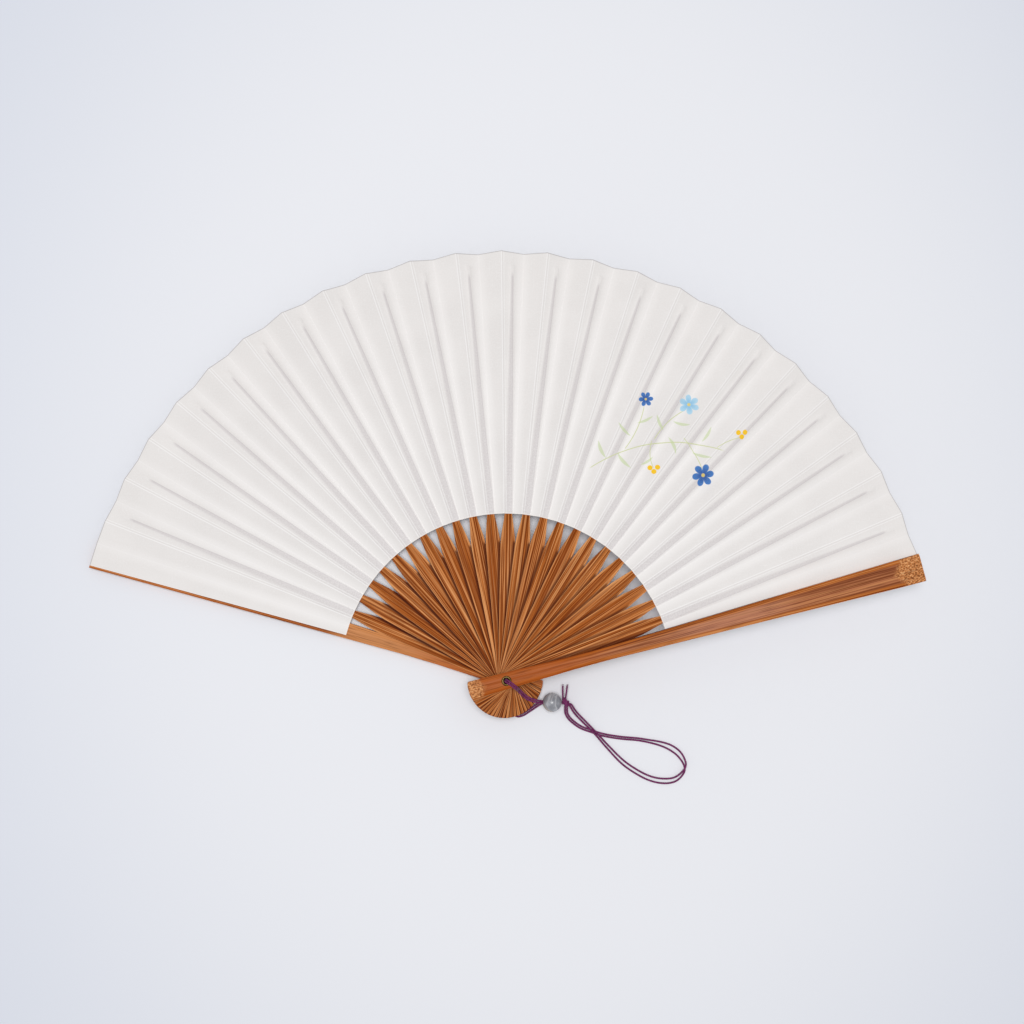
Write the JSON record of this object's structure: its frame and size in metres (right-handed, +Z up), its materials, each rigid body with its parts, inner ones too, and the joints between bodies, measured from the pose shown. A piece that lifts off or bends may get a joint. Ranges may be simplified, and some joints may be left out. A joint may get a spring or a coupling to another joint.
{
  "type": "folding fan",
  "caption": "Open folding fan: thin bamboo sticks and guards on a brass pivot eyelet, a pleated off-white paper leaf, and a doubled purple cord with a stone bead.",
  "frame": {"origin": "on the standing surface, under the middle of the open fan measured without its cord", "axes": "+Z up out of the surface that the open fan lies on, +Y from the pivot towards the middle of the leaf, +X to the right, towards the front guard"},
  "size_m": [0.3464, 0.2223, 0.021],
  "materials": {
    "bamboo_guard": "oiled reddish-brown bamboo, satin",
    "bamboo_stick": "oiled reddish-brown bamboo strip with fine lengthwise grain",
    "paper": "matt off-white paper, two pasted sheets",
    "brass": "aged brass",
    "cord": "purple twisted cord",
    "stone": "polished grey-blue stone"
  },
  "bodies": {
    "rear_guard": {"rear_guard": "bamboo_guard", "eyelet": "brass", "leaf_fold_00": "paper", "neck_strand_a": "cord", "neck_strand_b": "cord", "loop_strand_a": "cord", "loop_strand_b": "cord", "knot": "cord"},
    "stick_01": {"stick_01": "bamboo_stick", "leaf_fold_01": "paper"},
    "stick_02": {"stick_02": "bamboo_stick", "leaf_fold_02": "paper"},
    "stick_03": {"stick_03": "bamboo_stick", "leaf_fold_03": "paper"},
    "stick_04": {"stick_04": "bamboo_stick", "leaf_fold_04": "paper"},
    "stick_05": {"stick_05": "bamboo_stick", "leaf_fold_05": "paper"},
    "stick_06": {"stick_06": "bamboo_stick", "leaf_fold_06": "paper"},
    "stick_07": {"stick_07": "bamboo_stick", "leaf_fold_07": "paper"},
    "stick_08": {"stick_08": "bamboo_stick", "leaf_fold_08": "paper"},
    "stick_09": {"stick_09": "bamboo_stick", "leaf_fold_09": "paper"},
    "stick_10": {"stick_10": "bamboo_stick", "leaf_fold_10": "paper"},
    "stick_11": {"stick_11": "bamboo_stick", "leaf_fold_11": "paper"},
    "stick_12": {"stick_12": "bamboo_stick", "leaf_fold_12": "paper"},
    "stick_13": {"stick_13": "bamboo_stick", "leaf_fold_13": "paper"},
    "stick_14": {"stick_14": "bamboo_stick", "leaf_fold_14": "paper"},
    "stick_15": {"stick_15": "bamboo_stick", "leaf_fold_15": "paper"},
    "stick_16": {"stick_16": "bamboo_stick", "leaf_fold_16": "paper"},
    "stick_17": {"stick_17": "bamboo_stick", "leaf_fold_17": "paper"},
    "stick_18": {"stick_18": "bamboo_stick", "leaf_fold_18": "paper"},
    "stick_19": {"stick_19": "bamboo_stick", "leaf_fold_19": "paper"},
    "stick_20": {"stick_20": "bamboo_stick", "leaf_fold_20": "paper"},
    "stick_21": {"stick_21": "bamboo_stick", "leaf_fold_21": "paper"},
    "stick_22": {"stick_22": "bamboo_stick", "leaf_fold_22": "paper"},
    "stick_23": {"stick_23": "bamboo_stick", "leaf_fold_23": "paper"},
    "front_guard": {"front_guard": "bamboo_guard", "leaf_end_panel": "paper"},
    "bead": {"bead": "stone"}
  },
  "joints": [
    {"name": "fan_fold", "type": "hinge", "parent": "rear_guard", "child": "front_guard", "pos_m": [0, -0.08123, 0.0088], "axis": [0, 0, 1], "range_deg": [0, 148], "deforming": ["leaf_fold_00", "neck_strand_a", "neck_strand_b"]},
    {"name": "stick_01_turn", "type": "hinge", "parent": "rear_guard", "child": "stick_01", "pos_m": [0, -0.08123, 0.0088], "axis": [0, 0, 1], "range_deg": [0, 6.17], "deforming": ["leaf_fold_01"]},
    {"name": "stick_02_turn", "type": "hinge", "parent": "rear_guard", "child": "stick_02", "pos_m": [0, -0.08123, 0.0088], "axis": [0, 0, 1], "range_deg": [0, 12.33], "deforming": ["leaf_fold_02"]},
    {"name": "stick_03_turn", "type": "hinge", "parent": "rear_guard", "child": "stick_03", "pos_m": [0, -0.08123, 0.0088], "axis": [0, 0, 1], "range_deg": [0, 18.5], "deforming": ["leaf_fold_03"]},
    {"name": "stick_04_turn", "type": "hinge", "parent": "rear_guard", "child": "stick_04", "pos_m": [0, -0.08123, 0.0088], "axis": [0, 0, 1], "range_deg": [0, 24.67], "deforming": ["leaf_fold_04"]},
    {"name": "stick_05_turn", "type": "hinge", "parent": "rear_guard", "child": "stick_05", "pos_m": [0, -0.08123, 0.0088], "axis": [0, 0, 1], "range_deg": [0, 30.83], "deforming": ["leaf_fold_05"]},
    {"name": "stick_06_turn", "type": "hinge", "parent": "rear_guard", "child": "stick_06", "pos_m": [0, -0.08123, 0.0088], "axis": [0, 0, 1], "range_deg": [0, 37], "deforming": ["leaf_fold_06"]},
    {"name": "stick_07_turn", "type": "hinge", "parent": "rear_guard", "child": "stick_07", "pos_m": [0, -0.08123, 0.0088], "axis": [0, 0, 1], "range_deg": [0, 43.17], "deforming": ["leaf_fold_07"]},
    {"name": "stick_08_turn", "type": "hinge", "parent": "rear_guard", "child": "stick_08", "pos_m": [0, -0.08123, 0.0088], "axis": [0, 0, 1], "range_deg": [0, 49.33], "deforming": ["leaf_fold_08"]},
    {"name": "stick_09_turn", "type": "hinge", "parent": "rear_guard", "child": "stick_09", "pos_m": [0, -0.08123, 0.0088], "axis": [0, 0, 1], "range_deg": [0, 55.5], "deforming": ["leaf_fold_09"]},
    {"name": "stick_10_turn", "type": "hinge", "parent": "rear_guard", "child": "stick_10", "pos_m": [0, -0.08123, 0.0088], "axis": [0, 0, 1], "range_deg": [0, 61.67], "deforming": ["leaf_fold_10"]},
    {"name": "stick_11_turn", "type": "hinge", "parent": "rear_guard", "child": "stick_11", "pos_m": [0, -0.08123, 0.0088], "axis": [0, 0, 1], "range_deg": [0, 67.83], "deforming": ["leaf_fold_11"]},
    {"name": "stick_12_turn", "type": "hinge", "parent": "rear_guard", "child": "stick_12", "pos_m": [0, -0.08123, 0.0088], "axis": [0, 0, 1], "range_deg": [0, 74], "deforming": ["leaf_fold_12"]},
    {"name": "stick_13_turn", "type": "hinge", "parent": "rear_guard", "child": "stick_13", "pos_m": [0, -0.08123, 0.0088], "axis": [0, 0, 1], "range_deg": [0, 80.17], "deforming": ["leaf_fold_13"]},
    {"name": "stick_14_turn", "type": "hinge", "parent": "rear_guard", "child": "stick_14", "pos_m": [0, -0.08123, 0.0088], "axis": [0, 0, 1], "range_deg": [0, 86.33], "deforming": ["leaf_fold_14"]},
    {"name": "stick_15_turn", "type": "hinge", "parent": "rear_guard", "child": "stick_15", "pos_m": [0, -0.08123, 0.0088], "axis": [0, 0, 1], "range_deg": [0, 92.5], "deforming": ["leaf_fold_15"]},
    {"name": "stick_16_turn", "type": "hinge", "parent": "rear_guard", "child": "stick_16", "pos_m": [0, -0.08123, 0.0088], "axis": [0, 0, 1], "range_deg": [0, 98.67], "deforming": ["leaf_fold_16"]},
    {"name": "stick_17_turn", "type": "hinge", "parent": "rear_guard", "child": "stick_17", "pos_m": [0, -0.08123, 0.0088], "axis": [0, 0, 1], "range_deg": [0, 104.83], "deforming": ["leaf_fold_17"]},
    {"name": "stick_18_turn", "type": "hinge", "parent": "rear_guard", "child": "stick_18", "pos_m": [0, -0.08123, 0.0088], "axis": [0, 0, 1], "range_deg": [0, 111], "deforming": ["leaf_fold_18"]},
    {"name": "stick_19_turn", "type": "hinge", "parent": "rear_guard", "child": "stick_19", "pos_m": [0, -0.08123, 0.0088], "axis": [0, 0, 1], "range_deg": [0, 117.17], "deforming": ["leaf_fold_19"]},
    {"name": "stick_20_turn", "type": "hinge", "parent": "rear_guard", "child": "stick_20", "pos_m": [0, -0.08123, 0.0088], "axis": [0, 0, 1], "range_deg": [0, 123.33], "deforming": ["leaf_fold_20"]},
    {"name": "stick_21_turn", "type": "hinge", "parent": "rear_guard", "child": "stick_21", "pos_m": [0, -0.08123, 0.0088], "axis": [0, 0, 1], "range_deg": [0, 129.5], "deforming": ["leaf_fold_21"]},
    {"name": "stick_22_turn", "type": "hinge", "parent": "rear_guard", "child": "stick_22", "pos_m": [0, -0.08123, 0.0088], "axis": [0, 0, 1], "range_deg": [0, 135.67], "deforming": ["leaf_fold_22"]},
    {"name": "stick_23_turn", "type": "hinge", "parent": "rear_guard", "child": "stick_23", "pos_m": [0, -0.08123, 0.0088], "axis": [0, 0, 1], "range_deg": [0, 141.83], "deforming": ["leaf_fold_23"]},
    {"name": "bead_spin", "type": "hinge", "parent": "rear_guard", "child": "bead", "pos_m": [0.0198, -0.09093, 0.004], "axis": [1, 0, 0], "continuous": true}
  ],
  "couplings": [
    {"joint": "stick_01_turn", "follows": "fan_fold", "ratio": 0.041667},
    {"joint": "stick_02_turn", "follows": "fan_fold", "ratio": 0.083333},
    {"joint": "stick_03_turn", "follows": "fan_fold", "ratio": 0.125},
    {"joint": "stick_04_turn", "follows": "fan_fold", "ratio": 0.16667},
    {"joint": "stick_05_turn", "follows": "fan_fold", "ratio": 0.20833},
    {"joint": "stick_06_turn", "follows": "fan_fold", "ratio": 0.25},
    {"joint": "stick_07_turn", "follows": "fan_fold", "ratio": 0.29167},
    {"joint": "stick_08_turn", "follows": "fan_fold", "ratio": 0.33333},
    {"joint": "stick_09_turn", "follows": "fan_fold", "ratio": 0.375},
    {"joint": "stick_10_turn", "follows": "fan_fold", "ratio": 0.41667},
    {"joint": "stick_11_turn", "follows": "fan_fold", "ratio": 0.45833},
    {"joint": "stick_12_turn", "follows": "fan_fold", "ratio": 0.5},
    {"joint": "stick_13_turn", "follows": "fan_fold", "ratio": 0.54167},
    {"joint": "stick_14_turn", "follows": "fan_fold", "ratio": 0.58333},
    {"joint": "stick_15_turn", "follows": "fan_fold", "ratio": 0.625},
    {"joint": "stick_16_turn", "follows": "fan_fold", "ratio": 0.66667},
    {"joint": "stick_17_turn", "follows": "fan_fold", "ratio": 0.70833},
    {"joint": "stick_18_turn", "follows": "fan_fold", "ratio": 0.75},
    {"joint": "stick_19_turn", "follows": "fan_fold", "ratio": 0.79167},
    {"joint": "stick_20_turn", "follows": "fan_fold", "ratio": 0.83333},
    {"joint": "stick_21_turn", "follows": "fan_fold", "ratio": 0.875},
    {"joint": "stick_22_turn", "follows": "fan_fold", "ratio": 0.91667},
    {"joint": "stick_23_turn", "follows": "fan_fold", "ratio": 0.95833}
  ]
}
